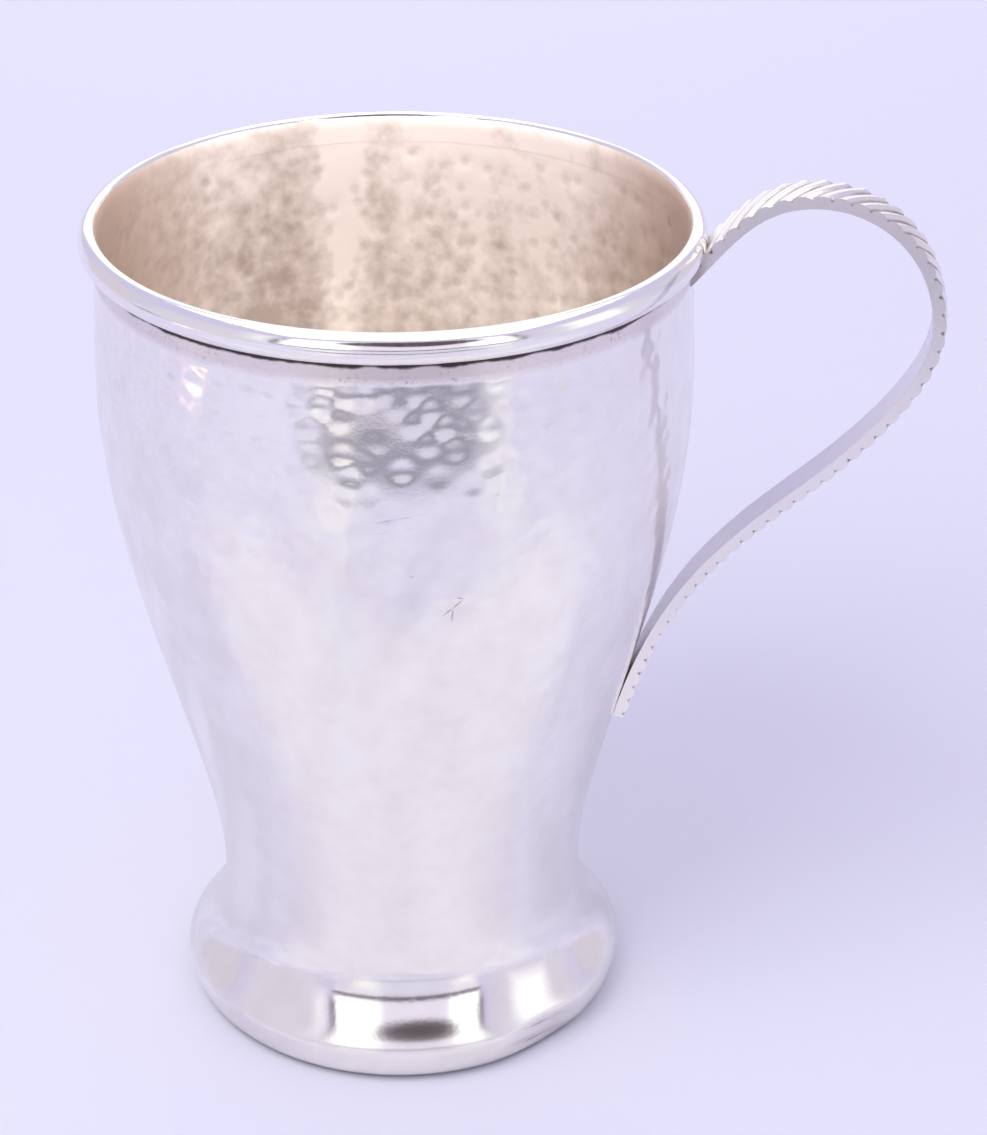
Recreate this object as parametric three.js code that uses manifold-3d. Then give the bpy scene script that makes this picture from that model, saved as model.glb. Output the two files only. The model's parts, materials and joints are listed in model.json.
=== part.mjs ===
// A hammered silver mug: a waisted body raised from one sheet, an applied rim wire, a reeded strap handle.
// Millimetres, +Z up. The origin is the middle of the flat underside, and the handle reaches out along +X.
import * as THREE from "three";
import { mergeVertices } from "three/addons/utils/BufferGeometryUtils.js";
import Module from "manifold-3d";

// Raised body, as radii and heights of its outer face.
const WALL = 0.6;
const UNDERSIDE_RADIUS = 26.1;
const FOOT_RADIUS = 29.4;
const FOOT_HEIGHT = 4.8;
const WAIST_RADIUS = 23.9;
const WAIST_HEIGHT = 18;
const BELLY_RADIUS = 37.2;
const BELLY_HEIGHT = 89;
const NECK_RADIUS = 36.6;
const NECK_HEIGHT = 106.5;

// How far the profile keeps running straight up on each side of the foot, waist, belly and neck.
const FOOT_RISE = 2.2;
const BELOW_WAIST = 8.5;
const ABOVE_WAIST = 17.5;
const BELOW_BELLY = 26.5;
const ABOVE_BELLY = 6;
const BELOW_NECK = 6;

// Hammer marks, planished in staggered rows between the polished foot and the plain collar.
const HAMMER_DEPTH = 0.12;
const HAMMER_FROM = 24;
const HAMMER_TO = 104;

// Rim wire: an oval wire that sits on the wall's edge and overhangs it.
const MOUTH_RADIUS = 38.3;
const RIM_TOP = 110;

// Handle strip, flat inside and reeded outside.
const STRIP_WIDTH = 5.6;
const STRIP_THICKNESS = 1.15;
const STRIP_CROWN = 0.12;
const REED_HEIGHT = 0.4;
const REED_PITCH = 2.2;
const REED_SLANT = THREE.MathUtils.degToRad(39);

// The handle's bend, read along its inner face from the rim to the tail: reach from the cup's axis, height,
// heading in degrees, and how far the strip keeps to that heading before and after the knot.
const TAIL_HEIGHT = 42.5;
const RIM_KNOT = { reach: 35.5, height: 102, heading: 46, before: 0, after: 7.5 };
const TOP_KNOT = { reach: 51.5, height: 113.8, heading: 0, before: 8, after: 7.4 };
const OUTER_KNOT = { reach: 65.8, height: 98.6, heading: -90, before: 9.3, after: 7 };
const SLOPE_KNOT = { reach: 51.4, height: 77.5, heading: -138, before: 7.4, after: 13 };
const TAIL_RUN = 20;

// Gap left between the handle and the cup for solder.
const SOLDER_GAP = 0.3;

// Facets.
const TURN_SEGMENTS = 64;
const FOOT_EDGE_STEPS = 3;
const FOOT_STEPS = 5;
const BELLY_STEPS = 14;
const NECK_STEPS = 3;
const RIM_STEPS = 6;
const REED_STEPS = 4;
const STRIP_COLUMNS = 4;

const { Vector2 } = THREE;
const wasm = await Module();
wasm.setup();

// The cup's outer face from the edge of the underside up to the rim, as one curve for each stretch.
const underside = new Vector2(UNDERSIDE_RADIUS, 0);
const foot = new Vector2(FOOT_RADIUS, FOOT_HEIGHT);
const waist = new Vector2(WAIST_RADIUS, WAIST_HEIGHT);
const belly = new Vector2(BELLY_RADIUS, BELLY_HEIGHT);
const neck = new Vector2(NECK_RADIUS, NECK_HEIGHT);

// A stretch of wall that leaves one level and reaches the next straight up.
function wallBetween(low, high, rise, approach) {
  const leave = new Vector2(low.x, low.y + rise);
  const arrive = new Vector2(high.x, high.y - approach);
  return new THREE.CubicBezierCurve(low, leave, arrive, high);
}

const footEdgeCurve = new THREE.EllipseCurve(
  underside.x,
  foot.y,
  foot.x - underside.x,
  foot.y,
  -Math.PI / 2,
  0,
);
const footCurve = wallBetween(foot, waist, FOOT_RISE, BELOW_WAIST);
const bellyCurve = wallBetween(waist, belly, ABOVE_WAIST, BELOW_BELLY);
const neckCurve = wallBetween(belly, neck, ABOVE_BELLY, BELOW_NECK);
const wallStretches = [
  [footEdgeCurve, FOOT_EDGE_STEPS],
  [footCurve, FOOT_STEPS],
  [bellyCurve, BELLY_STEPS],
  [neckCurve, NECK_STEPS],
];

// Points up the wall at a depth below its outer face, in coarser steps for a larger stride.
function wallPoints(depth, stride) {
  const points = [];
  for (const [curve, steps] of wallStretches) {
    const count = Math.ceil(steps / stride);
    for (let i = points.length ? 1 : 0; i <= count; i++) {
      const along = curve.getTangent(i / count);
      const inward = new Vector2(-along.y, along.x);
      points.push(curve.getPoint(i / count).addScaledVector(inward, depth));
    }
  }
  return points;
}

// A solid of revolution about +Z from an outline of radii and heights.
function turned(outline) {
  return new THREE.LatheGeometry(outline, TURN_SEGMENTS).rotateX(Math.PI / 2);
}

// Sinks every other facet corner of the outer wall, as overlapping hammer blows leave it.
function hammer(geometry, outline, outerCount) {
  const position = geometry.getAttribute("position");
  for (let k = 0; k < position.count; k++) {
    const row = k % outline.length;
    const turn = Math.floor(k / outline.length) % TURN_SEGMENTS;
    const { x: radius, y: height } = outline[row];
    const struck = row < outerCount && height > HAMMER_FROM && height < HAMMER_TO;
    if (!struck || (row + turn) % 2) continue;
    const sunk = 1 - HAMMER_DEPTH / radius;
    position.setXY(k, position.getX(k) * sunk, position.getY(k) * sunk);
  }
  return geometry;
}

// The raised body: underside, outer wall, upper edge, inner wall and inner floor.
function bodyGeometry() {
  const outer = wallPoints(0, 1);
  const inner = wallPoints(WALL, 2).reverse();
  inner[0] = new Vector2(neck.x - WALL, neck.y);
  const outline = [new Vector2(0, 0), ...outer, ...inner, new Vector2(0, WALL)];
  return hammer(turned(outline), outline, outer.length + 1);
}

// The rim wire's section: a seat on the wall's edge, a round outer side, and a flatter inner side.
function rimOutline(grow) {
  const seatInner = neck.x - WALL;
  const middle = (NECK_HEIGHT + RIM_TOP) / 2;
  const halfHeight = (RIM_TOP - NECK_HEIGHT) / 2;
  const overhang = MOUTH_RADIUS - neck.x;
  const outside = new THREE.EllipseCurve(
    neck.x,
    middle,
    overhang + grow,
    halfHeight + grow,
    -Math.PI / 2,
    Math.PI / 2,
  );
  const inside = new THREE.EllipseCurve(
    neck.x,
    middle,
    WALL,
    halfHeight,
    Math.PI / 2,
    Math.PI,
  );
  const seat = new Vector2(seatInner, NECK_HEIGHT);
  return {
    outside: outside.getPoints(RIM_STEPS),
    inside: inside.getPoints(RIM_STEPS / 2).slice(1),
    seat,
  };
}

function rimGeometry() {
  const { outside, inside, seat } = rimOutline(0);
  return turned([seat, ...outside, ...inside, seat.clone()]);
}

// The cup filled solid and grown by the solder gap: the space that the handle keeps out of.
function clearanceGeometry() {
  const wallFace = wallPoints(-SOLDER_GAP, 1);
  wallFace[0] = new Vector2(UNDERSIDE_RADIUS, -SOLDER_GAP);
  const { outside } = rimOutline(SOLDER_GAP);
  const top = outside.at(-1);
  const bottom = new Vector2(0, -SOLDER_GAP);
  const faceBelowRim = wallFace.filter((p) => p.y < outside[0].y);
  const overhang = outside.filter((p) => p.x > neck.x + SOLDER_GAP);
  return turned([bottom, ...faceBelowRim, ...overhang, top, new Vector2(0, top.y)]);
}

// Radius of the body's outer face at a height above the waist and below the belly.
function wallRadius(height) {
  let low = 0;
  let high = 1;
  for (let halving = 0; halving < 40; halving++) {
    const mid = (low + high) / 2;
    if (bellyCurve.getPoint(mid).y < height) low = mid;
    else high = mid;
  }
  return bellyCurve.getPoint(low).x;
}

// The strip's inner face in the plane of the handle: x is reach and y is height.
function handlePath() {
  const tailReach = wallRadius(TAIL_HEIGHT) + SOLDER_GAP;
  const wallSlope = Math.atan2(-1, wallRadius(TAIL_HEIGHT - 1) + SOLDER_GAP - tailReach);
  const tail = {
    reach: tailReach,
    height: TAIL_HEIGHT,
    heading: THREE.MathUtils.radToDeg(wallSlope),
    before: TAIL_RUN,
    after: 0,
  };
  const knots = [RIM_KNOT, TOP_KNOT, OUTER_KNOT, SLOPE_KNOT, tail];
  const path = new THREE.CurvePath();
  for (let i = 1; i < knots.length; i++) {
    path.add(bendBetween(knots[i - 1], knots[i]));
  }
  return path;
}

function bendBetween(from, to) {
  const ends = [from, to].map((knot) => new Vector2(knot.reach, knot.height));
  const headings = [from, to].map((knot) => {
    const angle = THREE.MathUtils.degToRad(knot.heading);
    return new Vector2(Math.cos(angle), Math.sin(angle));
  });
  const leave = ends[0].clone().addScaledVector(headings[0], from.after);
  const arrive = ends[1].clone().addScaledVector(headings[1], -to.before);
  return new THREE.CubicBezierCurve(ends[0], leave, arrive, ends[1]);
}

// A closed geometry as a solid for cutting, and back again.
function toSolid(geometry) {
  const bare = new THREE.BufferGeometry();
  bare.setAttribute("position", geometry.getAttribute("position"));
  bare.setIndex(geometry.getIndex());
  const merged = mergeVertices(bare, 1e-4);
  const mesh = new wasm.Mesh({
    numProp: 3,
    vertProperties: merged.getAttribute("position").array,
    triVerts: new Uint32Array(merged.getIndex().array),
  });
  return new wasm.Manifold(mesh);
}

function toGeometry(solid) {
  const mesh = solid.getMesh();
  const geometry = new THREE.BufferGeometry();
  geometry.setAttribute("position", new THREE.BufferAttribute(mesh.vertProperties, 3));
  geometry.setIndex(new THREE.BufferAttribute(mesh.triVerts, 1));
  return geometry;
}

// The rolled strip lying flat: x along it, y across it, z out of its flat face. Each station is a line that
// runs with the reeds, so crests and grooves stay sharp across the whole width.
function flatStrip(length) {
  const lean = Math.tan(REED_SLANT);
  const spill = (STRIP_WIDTH / 2) * lean + REED_PITCH;
  const stations = Math.ceil((length + 2 * spill) / REED_PITCH) * REED_STEPS;
  const across = Array.from(
    { length: STRIP_COLUMNS + 1 },
    (_, j) => j / STRIP_COLUMNS - 1 / 2,
  );
  const vertices = [];
  for (let i = 0; i <= stations; i++) {
    const along = (i / REED_STEPS) * REED_PITCH - spill;
    const reed = REED_HEIGHT * Math.abs(Math.sin((Math.PI * i) / REED_STEPS));
    for (const part of across) {
      const y = part * STRIP_WIDTH;
      const crown = STRIP_CROWN * (1 - 4 * part * part);
      vertices.push(along + y * lean, y, STRIP_THICKNESS + crown + reed);
    }
    for (const part of [1 / 2, -1 / 2]) {
      const y = part * STRIP_WIDTH;
      vertices.push(along + y * lean, y, 0);
    }
  }
  const ring = across.length + 2;
  const triangles = [];
  for (let i = 0; i < stations; i++) {
    for (let j = 0; j < ring; j++) {
      const a = i * ring + j;
      const b = i * ring + ((j + 1) % ring);
      triangles.push(a, a + ring, b, b, a + ring, b + ring);
    }
  }
  const last = stations * ring;
  for (let j = 1; j < ring - 1; j++) {
    triangles.push(0, j, j + 1, last, last + j + 1, last + j);
  }
  const geometry = new THREE.BufferGeometry();
  geometry.setAttribute("position", new THREE.Float32BufferAttribute(vertices, 3));
  geometry.setIndex(triangles);
  return geometry;
}

// Bends the flat strip along the path: the flat face follows the path, and the reeds face outwards.
function bend(geometry, path, length) {
  const position = geometry.getAttribute("position");
  for (let k = 0; k < position.count; k++) {
    const t = THREE.MathUtils.clamp(position.getX(k) / length, 0, 1);
    const at = path.getPoint(t);
    const heading = path.getTangent(t);
    const out = position.getZ(k);
    position.setXYZ(k, at.x - out * heading.y, position.getY(k), at.y + out * heading.x);
  }
  return geometry;
}

// The handle: a reeded strip cut to length, bent, and filed to the rim and the wall at its upper end.
function handleGeometry() {
  const path = handlePath();
  const length = path.getLength();
  const cutter = new THREE.BoxGeometry(length, 2 * STRIP_WIDTH, 2 * STRIP_WIDTH);
  const cutLength = toSolid(cutter.translate(length / 2, 0, 0));
  const strip = toGeometry(toSolid(flatStrip(length)).intersect(cutLength));
  const bent = toSolid(bend(strip, path, length));
  return toGeometry(bent.subtract(toSolid(clearanceGeometry())));
}

// A named piece of the cup with its own finish.
function piece(name, geometry, finish) {
  geometry.computeVertexNormals();
  const mesh = new THREE.Mesh(geometry, new THREE.MeshStandardMaterial(finish));
  mesh.name = name;
  return mesh;
}

const cup = new THREE.Group();
cup.name = "silver_cup";
cup.add(
  piece("cup_body", bodyGeometry(), { color: 0xdad6e4, roughness: 0.28, metalness: 1 }),
  piece("rim_wire", rimGeometry(), { color: 0xe6e3ee, roughness: 0.16, metalness: 1 }),
  piece("handle", handleGeometry(), { color: 0xe2dad8, roughness: 0.3, metalness: 1 }),
);

export default cup;
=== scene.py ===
# %% [markdown]
# # A hammered silver mug
# The mug has three pieces: a body raised from one sheet of silver, a wire soldered round its mouth, and a
# handle bent from a reeded strip. The frame gives their real sizes. This lesson builds each piece again as
# a finer mesh, gives it the finish of the real metal, and lights it as small silver is lit.

# %% Load the frame
import json
import math

import bmesh
import bpy
import numpy as np
from mathutils import Matrix, Vector

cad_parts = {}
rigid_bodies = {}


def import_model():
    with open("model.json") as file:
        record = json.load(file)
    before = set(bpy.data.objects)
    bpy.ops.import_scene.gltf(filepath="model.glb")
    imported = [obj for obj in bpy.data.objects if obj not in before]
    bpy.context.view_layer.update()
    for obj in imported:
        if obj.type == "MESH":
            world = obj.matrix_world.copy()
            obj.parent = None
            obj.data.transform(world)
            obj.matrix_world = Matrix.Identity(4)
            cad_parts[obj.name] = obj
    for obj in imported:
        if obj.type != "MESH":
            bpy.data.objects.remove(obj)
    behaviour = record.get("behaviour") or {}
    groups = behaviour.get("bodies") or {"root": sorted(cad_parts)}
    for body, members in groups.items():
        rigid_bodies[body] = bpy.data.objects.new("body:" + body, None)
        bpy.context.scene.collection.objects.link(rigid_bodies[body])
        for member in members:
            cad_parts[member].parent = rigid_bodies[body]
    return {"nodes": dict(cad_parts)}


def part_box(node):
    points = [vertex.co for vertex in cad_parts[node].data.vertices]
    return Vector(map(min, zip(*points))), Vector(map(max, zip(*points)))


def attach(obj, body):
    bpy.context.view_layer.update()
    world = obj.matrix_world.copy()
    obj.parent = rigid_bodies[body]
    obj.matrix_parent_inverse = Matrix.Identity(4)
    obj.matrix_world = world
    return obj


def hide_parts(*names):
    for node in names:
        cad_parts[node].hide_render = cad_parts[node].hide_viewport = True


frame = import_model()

MM = 0.001
SCENE = bpy.context.scene
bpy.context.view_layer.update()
print("frame pieces:", sorted(frame["nodes"]))

# %% [markdown]
# ## Two helpers
# Every material and every Geometry Nodes tree here is a set of nodes and links. One small function adds a
# node, sets its options and fills its inputs, so each line below reads as one step of a recipe. Colours are
# written as the hex values that an eye can judge on screen, and turned to linear light by a second function.
# Short names stand for the kinds of node and the options that come back again and again.

# %% Helpers for nodes and colours
MATH, RANGE, MIX, NOISE = "ShaderNodeMath", "ShaderNodeMapRange", "ShaderNodeMix", "ShaderNodeTexNoise"
VECTOR, PARTS, PLACE = "ShaderNodeVectorMath", "ShaderNodeSeparateXYZ", "ShaderNodeTexCoord"
METAL, FINISH = "ShaderNodeBsdfPrincipled", "ShaderNodeOutputMaterial"
ADD, SUBTRACT, TIMES, TIMES_ADD = (
    {"operation": word} for word in ("ADD", "SUBTRACT", "MULTIPLY", "MULTIPLY_ADD")
)
SMOOTH = {"interpolation_type": "SMOOTHSTEP"}
COLOURS = {"data_type": "RGBA"}


def add_node(tree, kind, options=None, inputs=None, output=0):
    """Adds a node, fills or links its inputs by name or number, and gives back one of its outputs."""
    node = tree.nodes.new(kind)
    for option, value in (options or {}).items():
        setattr(node, option, value)
    for key, value in (inputs or {}).items():
        if isinstance(value, bpy.types.NodeSocket):
            tree.links.new(value, node.inputs[key])
        else:
            node.inputs[key].default_value = value
    return node.outputs[output] if node.outputs else None


def linear(hex_colour):
    """An sRGB hex colour as linear red, green, blue and alpha."""
    parts = [int(hex_colour[i : i + 2], 16) / 255 for i in (1, 3, 5)]
    return [c / 12.92 if c <= 0.04045 else ((c + 0.055) / 1.055) ** 2.4 for c in parts] + [1.0]


print("half grey on screen is", round(linear("#808080")[0], 3), "in linear light")

# %% [markdown]
# ## Where the viewer stands
# The view looks down into the mouth from the front, a little round towards the handle. Its place and aim
# were worked out from the shape of the mouth, the side outlines and the handle. Everything that the silver
# mirrors is placed from the viewer's side too, so three directions are kept: towards the viewer, to the
# viewer's right, and up.

# %% Directions of the view
VIEW_TURN = math.radians(8.42)
AIM_RIGHT = 0.036
AIM_DOWN = math.radians(27.99)
AIM_ROLL = math.radians(0.18)

to_viewer = Vector((math.sin(VIEW_TURN), -math.cos(VIEW_TURN), 0))
to_right = Vector((math.cos(VIEW_TURN), math.sin(VIEW_TURN), 0))
upwards = Vector((0, 0, 1))

level_aim = math.sin(AIM_RIGHT) * to_right - math.cos(AIM_RIGHT) * to_viewer
aim = math.cos(AIM_DOWN) * level_aim - math.sin(AIM_DOWN) * upwards
level_right = level_aim.cross(upwards)
image_right = math.cos(AIM_ROLL) * level_right + math.sin(AIM_ROLL) * level_right.cross(aim)
image_up = image_right.cross(aim)
print("the camera aims along", [round(c, 3) for c in aim])

# %% [markdown]
# ## The camera
# A camera looks along its own -Z axis, so its matrix has the picture's right, the picture's up and the
# reverse of the aim as columns. The lens is in millimetres on the 36 mm long side of the frame, which is
# the height here. Depth of field stays off, because a small thing is photographed sharp all over.

# %% Set up the camera
FRAME_HEIGHT_PX = 1135
FOCAL_LENGTH_PX = 2983
SENSOR_MM = 36
VIEW_BACK = 341 * MM
VIEW_UP = 242.2 * MM

camera = bpy.data.objects.new("camera", bpy.data.cameras.new("camera"))
camera.data.lens = SENSOR_MM * FOCAL_LENGTH_PX / FRAME_HEIGHT_PX
camera.data.sensor_width = SENSOR_MM
camera.data.clip_start = 10 * MM
camera.matrix_world = Matrix((image_right, image_up, -aim)).transposed().to_4x4()
camera.location = VIEW_BACK * to_viewer + VIEW_UP * upwards
SCENE.collection.objects.link(camera)
SCENE.camera = camera
print("lens", round(camera.data.lens, 1), "mm, camera at", [round(c, 3) for c in camera.location])

# %% [markdown]
# ## The floor
# The mug stands on a sheet of pale paper, large enough that its edge is never in view. Paper scatters light
# evenly, so a diffuse shader is enough.

# %% Lay the paper
SHEET_SIZE = 6
SHEET_COLOUR = "#F5F5F7"


def new_material(name):
    """An empty node material, ready for its first node."""
    material = bpy.data.materials.new(name)
    material.use_nodes = True
    material.node_tree.nodes.clear()
    return material, material.node_tree


def stage_mesh(name, corners, faces, material):
    """A mesh of the set round the mug."""
    mesh = bpy.data.meshes.new(name)
    mesh.from_pydata([tuple(c) for c in corners], [], faces)
    mesh.materials.append(material)
    obj = bpy.data.objects.new(name, mesh)
    SCENE.collection.objects.link(obj)
    return obj


# Uncoated paper: an even pale lavender without any shine.
paper, tree = new_material("pale lavender paper")
matt = add_node(
    tree, "ShaderNodeBsdfDiffuse", inputs={"Color": linear(SHEET_COLOUR), "Roughness": 0.6}
)
add_node(tree, FINISH, inputs={"Surface": matt})
half = SHEET_SIZE / 2
sheet_corners = [(-half, -half, 0), (half, -half, 0), (half, half, 0), (-half, half, 0)]
stage_mesh("floor_sheet", sheet_corners, [(0, 1, 2, 3)], paper)
print("floor sheet of", SHEET_SIZE, "m")

# %% [markdown]
# ## The dome
# Polished silver shows little of itself: it mirrors whatever stands around it. So the mug stands under an
# even bright dome, as in a light tent. A light tent could be a mesh, but the world does the same with two
# backgrounds: the dome for light and reflections, and a paler one that only the camera sees.

# %% Light the dome
DOME_COLOUR = "#E1DDFF"
DOME_STRENGTH = 0.86
BACKDROP_COLOUR = "#E4E1FB"

SCENE.view_settings.view_transform = "Standard"
SCENE.world = bpy.data.worlds.new("light tent")
SCENE.world.use_nodes = True
tree = SCENE.world.node_tree
tree.nodes.clear()
dome = add_node(
    tree, "ShaderNodeBackground", inputs={"Color": linear(DOME_COLOUR), "Strength": DOME_STRENGTH}
)
backdrop = add_node(tree, "ShaderNodeBackground", inputs={"Color": linear(BACKDROP_COLOUR)})
seen_directly = add_node(tree, "ShaderNodeLightPath", output="Is Camera Ray")
both = add_node(tree, "ShaderNodeMixShader", inputs={0: seen_directly, 1: dome, 2: backdrop})
add_node(tree, "ShaderNodeOutputWorld", inputs={"Surface": both})
print("dome at", DOME_STRENGTH)

# %% [markdown]
# ## The finish of a card
# Photographers set white and black cards round silver, because without dark edges it looks like grey plastic.
# A card here is a flat face that glows by itself, so it looks the same wherever it stands. Where it should
# melt into what lies behind it, its glow is mixed with a see-through shader by an attribute, and a noise may
# break it up into soft patches, bright ones for light on the table and grey ones for painted shadow.

# %% Glowing card
PATCH_FROM, PATCH_TO = 0.35, 0.6


def card_finish(name, hex_colour, strength, melts, patch):
    """An evenly glowing colour, which the card's own attribute fades where the card melts away."""
    material, tree = new_material(name)
    glow = add_node(
        tree, "ShaderNodeEmission", inputs={"Color": linear(hex_colour), "Strength": strength}
    )
    if melts:
        shown = add_node(tree, "ShaderNodeAttribute", {"attribute_name": "shown"}, output="Fac")
        if patch:
            place = add_node(tree, PLACE, output="Object")
            cloud = add_node(tree, NOISE, inputs={"Vector": place, "Scale": 1 / (patch * MM), "Detail": 1})
            cloud = add_node(
                tree, RANGE, inputs={"Value": cloud, "From Min": PATCH_FROM, "From Max": PATCH_TO}
            )
            shown = add_node(tree, MATH, TIMES, {0: shown, 1: cloud})
        clear = add_node(tree, "ShaderNodeBsdfTransparent")
        glow = add_node(tree, "ShaderNodeMixShader", inputs={0: shown, 1: clear, 2: glow})
    add_node(tree, FINISH, inputs={"Surface": glow})
    return material


print("cards glow by themselves and show only in reflections")

# %% [markdown]
# ## A card in its place
# Each card is given by corners in millimetres, as the viewer would say it: so far to the right, so far
# towards the viewer, so far up. A second, smaller ring of corners holds the full colour, and between the
# two rings the card melts away. Ray visibility hides the cards from the camera, the floor and the shadows.

# %% Set up a card
def card(name, corners, hex_colour, strength=1.0, margin=0.0, cover=1.0, patch=None):
    """A card through its corners. The margin is the share of each side over which it melts away, cover
    says how much of what lies behind is hidden, and a patch size in mm breaks it up."""
    count = len(corners)
    centre = sum((Vector(c) for c in corners), Vector()) / count
    places = []
    for share in (1, 1 - 2 * margin):
        for corner in corners:
            right, front, up = centre.lerp(Vector(corner), share) * MM
            places.append(right * to_right + front * to_viewer + up * upwards)
    faces = [tuple(range(count, 2 * count))]
    if margin:
        faces += [(i, (i + 1) % count, count + (i + 1) % count, count + i) for i in range(count)]
    finish = card_finish(name, hex_colour, strength, margin or patch or cover < 1, patch)
    obj = stage_mesh(name, places, faces, finish)
    shares = [0.0] * count + [cover] * count
    obj.data.attributes.new("shown", "FLOAT", "POINT").data.foreach_set("value", shares)
    obj.visible_camera = obj.visible_diffuse = obj.visible_shadow = False


def upright(left, right, front, low, high):
    """Corners of a card that stands square to the viewer."""
    return [(left, front, low), (right, front, low), (right, front, high), (left, front, high)]


def slanting(near, far, low, high):
    """Corners of a standing card between two places, each given as right and towards the viewer."""
    return [(*near, low), (*far, low), (*far, high), (*near, high)]


def lying(left, right, near, far, up=0.4):
    """Corners of a card that lies level, from near the mug to far towards the viewer."""
    return [(left, near, up), (left, far, up), (right, far, up), (right, near, up)]


print("cards stand upright, slanting or lying")

# %% [markdown]
# ## Cards before the foot
# The foot is the smoothest part of the mug and turns upwards, so it mirrors a tall strip of what stands on
# the viewer's side. A grey wall with a dark seam along its lower edge gives the foot its crisp line, white
# cards at the sides give it bright panels, and a dark oval where the viewer would be calms its middle.

# %% Cards before the foot
FRONT_LEFT, FRONT_RIGHT, FRONT_FOOT, FRONT_TOP = -248, 270, 100, 420
LOW_TOP = FRONT_FOOT - 20
SEAM_COLOUR = "#57515C"
SEAM_HALF_WIDTH = 13
OVAL_MIDDLE, OVAL_HALF = (36, 298, 310), (170, 122)

turns = [math.tau * i / 24 for i in range(24)]
viewer_oval = [
    (OVAL_MIDDLE[0] + OVAL_HALF[0] * math.cos(t), OVAL_MIDDLE[1], OVAL_MIDDLE[2] + OVAL_HALF[1] * math.sin(t))
    for t in turns
]
front_cards = [
    ("pale_low_wall", upright(FRONT_LEFT, FRONT_RIGHT, 312, -60, LOW_TOP), "#E6E2F6", 0.97),
    ("grey_front_wall", upright(FRONT_LEFT, FRONT_RIGHT, 310, FRONT_FOOT, FRONT_TOP), "#F1EBFC"),
    ("dark_foot_seam", upright(FRONT_LEFT, FRONT_RIGHT, 300, FRONT_FOOT - 21, FRONT_FOOT), SEAM_COLOUR),
    ("white_left_front_card", upright(FRONT_LEFT, -60, 305, 60, FRONT_TOP), "#FFFFFF", 1.6, 0.2),
    ("white_right_front_card", upright(130, FRONT_RIGHT, 305, 60, FRONT_TOP), "#FFFFFF", 1.6, 0.2),
    ("dark_viewer_card", viewer_oval, "#5A5056", 1.0, 0.12),
]
for side, middle in (("left", -198), ("right", 217)):
    seam = upright(middle - SEAM_HALF_WIDTH, middle + SEAM_HALF_WIDTH, 240, 80, 340)
    front_cards.append((f"dark_{side}_seam", seam, SEAM_COLOUR, 1.0, 0.2))
for row in front_cards:
    card(*row)
print("cards before the foot:", len(front_cards))

# %% [markdown]
# ## Cards beside the mug
# Towards its sides the foot mirrors what stands left and right of the mug. Pale side walls keep it light
# there, a narrow white gleam on each side marks its edge, and a soft glow in the low wall runs on over the
# floor towards the mug, as a window's light does.

# %% Cards beside the mug
SIDE_COLOUR, SIDE_GREY, BACK_GREY = "#E9E4F3", "#DFDAEA", "#D9D4E2"
SIDE_LOW, SIDE_HIGH = -190, 420
GLOW_COLOUR = "#FFFDFF"
FLOOR_END = 3000

side_cards = [
    ("pale_left_side_card", slanting((-235, 325), (-500, -60), SIDE_LOW, SIDE_HIGH), SIDE_GREY, 1.0, 0.24),
    ("pale_right_side_card", slanting((255, 325), (480, -120), SIDE_LOW, SIDE_HIGH), SIDE_GREY, 1.0, 0.24),
    ("grey_left_back_card", slanting((-490, -50), (-430, -420), SIDE_LOW, SIDE_HIGH), BACK_GREY, 1.0, 0.1),
    ("grey_right_back_card", slanting((470, -110), (400, -440), SIDE_LOW, SIDE_HIGH), BACK_GREY, 1.0, 0.1),
    ("white_left_gleam", slanting((-262, 290), (-350, 220), 60, 400), "#FFFFFF", 1.7, 0.35),
    ("white_right_gleam", slanting((310, 200), (390, 40), 20, 330), "#FFFFFF", 1.5, 0.45),
    ("pale_left_floor_card", lying(-FLOOR_END, -300, -FLOOR_END, FLOOR_END), SIDE_COLOUR, 1.0, 0.08),
    ("pale_right_floor_card", lying(300, FLOOR_END, -FLOOR_END, FLOOR_END), SIDE_COLOUR, 1.0, 0.08),
]
for side, middle in (("left", -122), ("right", 205)):
    glow = upright(middle - 70, middle + 70, 306, -60, LOW_TOP)
    side_cards.append((f"glow_{side}_low_card", glow, GLOW_COLOUR, 1.05, 0.42))
    near, far = 0.4 * middle, middle
    glow = [(far - 60, 306, 0.5), (far + 60, 306, 0.5), (near + 25, 90, 0.5), (near - 25, 90, 0.5)]
    side_cards.append((f"glow_{side}_floor_card", glow, GLOW_COLOUR, 1.0, 0.42))
for row in side_cards:
    card(*row)
print("cards beside the mug:", len(side_cards))

# %% [markdown]
# ## Cards for the wall and the mouth
# The hammered wall leans out a little, so it mirrors the table in front of the mug: near the foot a bright
# patch, further out soft light and grey patches of painted shadow, and far out a dark edge that each hammer
# mark picks up as its own small shadow. A white card behind and one above are for the rim wire and the
# inside.

# %% Cards for the wall and the mouth
table_cards = [
    ("white_back_card", upright(-220, 270, -340, 140, 480), "#FFFFFF", 1.15),
    ("white_ceiling_card", lying(-200, 240, -200, 200, 420), "#FFFBF6", 2.2),
    # grey patches of painted shadow on the table, seen only in reflections
    ("grey_floor_patches", lying(-460, 280, -320, 330, 0.45), "#A39EA6", 1.0, 0.35, 0.2, 24),
    ("bright_floor_patches", lying(-300, 300, 45, 330, 0.5), "#FBF8FF", 1.0, 0.15, 0.3, 35),
    ("bright_foot_patch", lying(-170, 170, 22, 105, 0.6), "#FAF7FF", 1.03, 0.2, 0.5),
    ("dark_floor_edge", lying(-185, 195, 216, 520, 0.7), "#4A4551", 1.0, 0.19, 0.72),
    ("dark_left_edge", lying(-640, -390, -90, 250, 0.7), "#6E6875", 1.0, 0.15),
    ("warm_left_glint", lying(-360, -300, 55, 110, 0.8), "#FFE0D6", 2.1, 0.2),
]
for row in table_cards:
    card(*row)
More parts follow.
